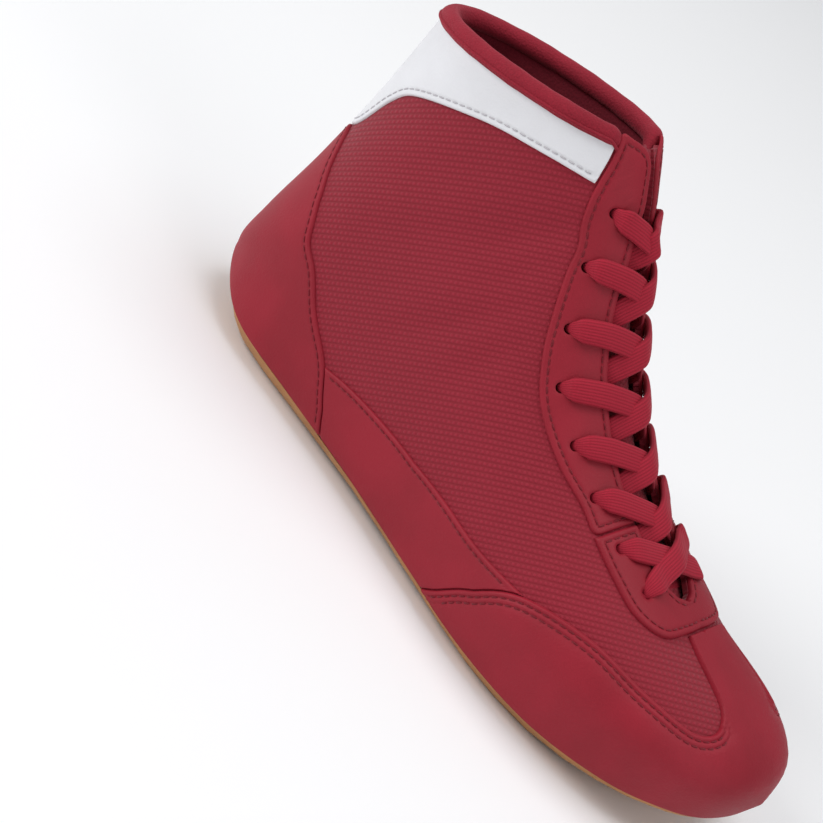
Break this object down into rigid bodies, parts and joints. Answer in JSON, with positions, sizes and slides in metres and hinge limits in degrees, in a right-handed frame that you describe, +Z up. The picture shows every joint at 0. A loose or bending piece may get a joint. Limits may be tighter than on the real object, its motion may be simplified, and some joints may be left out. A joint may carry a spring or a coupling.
{
  "type": "high-top sports shoe",
  "caption": "Lace-up high-top sports shoe for the right foot: hollow lasted fabric upper with smooth overlays and padded collar on a thin gum rubber sole with round grip pads.",
  "frame": {"origin": "middle of the shoe's footprint on the floor plane", "axes": "+X from heel to toe, +Y to the inner side of the foot, +Z up from the floor"},
  "size_m": [0.2866, 0.1016, 0.1618],
  "materials": {
    "gum_rubber": "satin gum rubber with fine ribs",
    "red_rubber": "satin rubber",
    "foam": "fabric-faced foam",
    "red_fabric": "fine woven mesh",
    "red_smooth": "smooth synthetic leather, low gloss",
    "white_smooth": "smooth synthetic leather, low gloss",
    "red_binding": "padded brushed knit",
    "red_lace": "flat woven lace"
  },
  "bodies": {
    "root": {"outsole": "gum_rubber", "grip_pad_toe": "red_rubber", "grip_pad_ball": "red_rubber", "grip_pad_side": "red_rubber", "insole": "foam", "upper": "red_fabric", "tongue": "red_fabric", "toe_overlay": "red_smooth", "heel_counter": "red_smooth", "side_panel_lateral": "red_smooth", "side_panel_medial": "red_smooth", "lace_base": "red_smooth", "eyestay_lateral": "red_smooth", "eyestay_medial": "red_smooth", "collar_band": "white_smooth", "collar_binding": "red_binding", "lace": "red_lace"}
  },
  "joints": []
}
